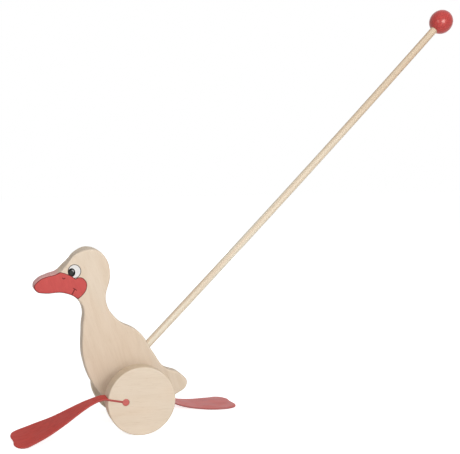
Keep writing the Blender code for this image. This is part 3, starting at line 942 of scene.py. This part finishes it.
def rubber(name, tones, specular, rough, side_shade_tone=None):
    """Soft moulded rubber: streaks, a dusty bloom, a fine skin and, given a side shade tone, painted shade on
    its sides that face along Y.
    """
    graph = Graph(name)
    streaks = graph.noise(graph.place(NO_TURN, RUBBER_STREAKS), 3.0, 0.6)
    cloud = graph.noise(graph.place(NO_TURN, RUBBER_CLOUD), 3.0)
    skin = graph.noise(graph.place(NO_TURN, RUBBER_SKIN), 2.0)
    pale, middle, dark = tones
    colour = graph.mix(graph.level(cloud, *MIDDLE), middle, pale)
    colour = graph.mix(graph.level(streaks, 0.42, 0.72, 0.0, 0.7), colour, dark)
    colour = graph.mix(graph.level(skin, 0.58, 0.75, 0.0, 0.2), colour, RUBBER_BLOOM)
    if side_shade_tone:
        colour = graph.mix(graph.level(graph.facing(), *ONTO_SHADED_SIDE), colour, side_shade_tone)
    roughness = graph.level(cloud, *MIDDLE, rough - 0.05, rough + 0.06)
    height = graph.math("ADD", graph.times(streaks, 0.6), graph.times(skin, 0.5))
    return graph.finish(colour, roughness, specular, height, RUBBER_BUMP)


# The toy

# Each paint's tone, its tone where it is thin, its roughness and its specular level
FACE_PAINTS = {
    "beak": ((0.57, 0.075, 0.068), (0.60, 0.09, 0.08), 0.45, 0.3),
    "beak_line": ((0.15, 0.024, 0.022), (0.20, 0.032, 0.030), 0.5, 0.15),
    "mark": ((0.17, 0.022, 0.022), (0.22, 0.028, 0.028), 0.5, 0.15),
    "eye_line": ((0.10, 0.085, 0.075), (0.14, 0.115, 0.10), 0.5, 0.3),
    "eye_white": ((0.83, 0.81, 0.79), (0.79, 0.765, 0.745), 0.45, 0.3),
    "pupil": ((0.004, 0.004, 0.004), (0.007, 0.007, 0.007), 0.45, 0.2),
    "iris": ((0.028, 0.031, 0.030), (0.036, 0.039, 0.037), 0.45, 0.2),
    "glint": ((0.46, 0.45, 0.45), (0.36, 0.35, 0.35), 0.45, 0.3),
}

body_look = board_wood(
    "body_wood", BODY_GRAIN, BODY_TONES, BODY_SHIFT, BODY_SOFTNESS, BODY_EDGE_GRAIN_AND_SHADE, beak_reflection=True,
)
wheel_look = board_wood("wheel_wood", WHEEL_GRAIN, BODY_TONES, WHEEL_SHIFT, WHEEL_SOFTNESS, WHEEL_EDGE_GRAIN_AND_SHADE)
stick_look = dowel_wood("stick_wood", STICK_GRAIN, STICK_TONES, STICK_SHIFT)
axle_look = dowel_wood("axle_wood", AXLE_GRAIN, STICK_TONES, AXLE_SHIFT)
knob_look = knob_paint("knob_paint", KNOB_TONES, STICK_GRAIN)
# The feet share one rubber, with painted shade on their sides: a darker painted shadow on the right foot
left_rubber = rubber("left_rubber", RUBBER_TONES, specular=0.12, rough=0.6, side_shade_tone=LEFT_SIDE_SHADE)
right_rubber = rubber("right_rubber", RUBBER_TONES, specular=0.65, rough=0.40, side_shade_tone=RIGHT_SIDE_SHADOW)
bead_rubber = rubber("bead_rubber", BEAD_TONES, specular=0.3, rough=0.5)
face_looks = {look: face_paint(look + "_paint", *values) for look, values in FACE_PAINTS.items()}

make_body(body_look)
finer("stick", "duck", stick_look)
knob = make_knob(knob_look)
finer("axle", "wheelset", axle_look)
for label, side, heading, (bend, twist), look in (
    ("left", NEAR, math.pi, LEFT_BEND, left_rubber),
    ("right", FAR, 0, RIGHT_BEND, right_rubber),
):
    finer(label + "_spacer", "wheelset", axle_look)
    finer(label + "_wheel", "wheelset", wheel_look)
    make_foot(label + "_foot", side, heading, bend, twist, look, bead_rubber)
    make_face(side, face_looks)


# Floor, light and camera

WHITE = (1, 1, 1, 1)
FLOOR_SIZE = 6.0
FLOOR_TONE = (0.8, 0.8, 0.8, 1)
FLOOR_ROUGHNESS = 0.9
FLOOR_GLOW = 0.80
SKY_LIGHT = 0.26

# Lamps aimed at one point: name, place, watts, size, seen in reflections, only for the knob's shine
LIGHT_AIM = Vector((-0.1, 0, 0.2))
LAMPS = (
    ("wide", (0.1, -1.6, 0.5), 14.6, 1.8, False, False),
    ("top", (-0.1, -0.5, 1.7), 5.8, 1.2, False, False),
    ("back", (0.1, 2.0, 0.2), 5.0, 1.2, False, False),
    ("key", (0.168, -1.345, 0.553), 3.4, 0.42, True, False),
    ("fill", (-0.79, -0.807, 0.553), 0.65, 0.34, True, False),
    ("key_shine", (0.168, -1.345, 0.553), 15, 0.6, True, True),
    ("fill_shine", (-0.75, -0.67, 0.68), 2.4, 0.34, True, True),
)
CAMERA_PLACE = (AXLE.x - 0.244281, -1.135378, 0.344181)
CAMERA_TURN = (math.radians(85.42838), 0, math.radians(-18.43636))
CAMERA_LENS = 71.350
CAMERA_SENSOR = 36.0


def backdrop_ray(tree):
    """1 for rays that show the background: seen directly, reflected or through glass."""
    path = tree.nodes.new("ShaderNodeLightPath")
    found = path.outputs["Is Camera Ray"]
    for kind in ("Is Glossy Ray", "Is Transmission Ray"):
        either = tree.nodes.new("ShaderNodeMath")
        either.operation = "MAXIMUM"
        tree.links.new(found, either.inputs[0])
        tree.links.new(path.outputs[kind], either.inputs[1])
        found = either.outputs[0]
    return found


def make_floor():
    """A white floor that looks white wherever the toy doesn't shade it."""
    shape = bmesh.new()
    bmesh.ops.create_grid(shape, x_segments=1, y_segments=1, size=FLOOR_SIZE)
    floor = new_object("floor", shape)
    look = bpy.data.materials.new("floor_white")
    look.use_nodes = True
    tree = look.node_tree
    shader = tree.nodes["Principled BSDF"]
    shader.inputs["Base Color"].default_value = FLOOR_TONE
    shader.inputs["Roughness"].default_value = FLOOR_ROUGHNESS
    shader.inputs["Specular IOR Level"].default_value = 0.0
    shader.inputs["Emission Color"].default_value = WHITE
    glow = tree.nodes.new("ShaderNodeMath")
    glow.operation = "MULTIPLY"
    tree.links.new(backdrop_ray(tree), glow.inputs[0])
    glow.inputs[1].default_value = FLOOR_GLOW
    tree.links.new(glow.outputs[0], shader.inputs["Emission Strength"])
    floor.data.materials.append(look)


def make_world():
    """A background that is white to look at and in reflections, and lights the toy more weakly."""
    world = bpy.data.worlds.new("studio")
    world.use_nodes = True
    tree = world.node_tree
    sky = tree.nodes["Background"]
    sky.inputs["Color"].default_value = WHITE
    level = tree.nodes.new("ShaderNodeMapRange")
    tree.links.new(backdrop_ray(tree), level.inputs["Value"])
    level.inputs["To Min"].default_value = SKY_LIGHT
    level.inputs["To Max"].default_value = 1.0
    tree.links.new(level.outputs["Result"], sky.inputs["Strength"])
    bpy.context.scene.world = world


def make_lamp(name, place, watts, size, mirrored, shine_on):
    """A round soft lamp. One that has a piece to shine on gives that piece's gloss and nothing else."""
    lamp = bpy.data.lights.new(name, "AREA")
    lamp.energy = watts
    lamp.shape = "DISK"
    lamp.size = size
    holder = bpy.data.objects.new(name, lamp)
    holder.location = place
    holder.rotation_euler = (LIGHT_AIM - Vector(place)).to_track_quat("-Z", "Y").to_euler()
    holder.visible_glossy = mirrored
    if shine_on:
        holder.visible_diffuse = False
        holder.light_linking.receiver_collection = bpy.data.collections.new(name)
        holder.light_linking.receiver_collection.objects.link(shine_on)
    bpy.context.scene.collection.objects.link(holder)


def make_camera():
    """The camera, worked out from the photo."""
    camera = bpy.data.cameras.new("camera")
    camera.sensor_fit = "HORIZONTAL"
    camera.sensor_width = CAMERA_SENSOR
    camera.lens = CAMERA_LENS
    holder = bpy.data.objects.new("camera", camera)
    holder.location = CAMERA_PLACE
    holder.rotation_euler = CAMERA_TURN
    bpy.context.scene.collection.objects.link(holder)
    bpy.context.scene.camera = holder


make_floor()
make_world()
for name, place, watts, size, mirrored, for_shine in LAMPS:
    make_lamp(name, place, watts, size, mirrored, knob if for_shine else None)
make_camera()
bpy.context.scene.view_settings.view_transform = "Standard"
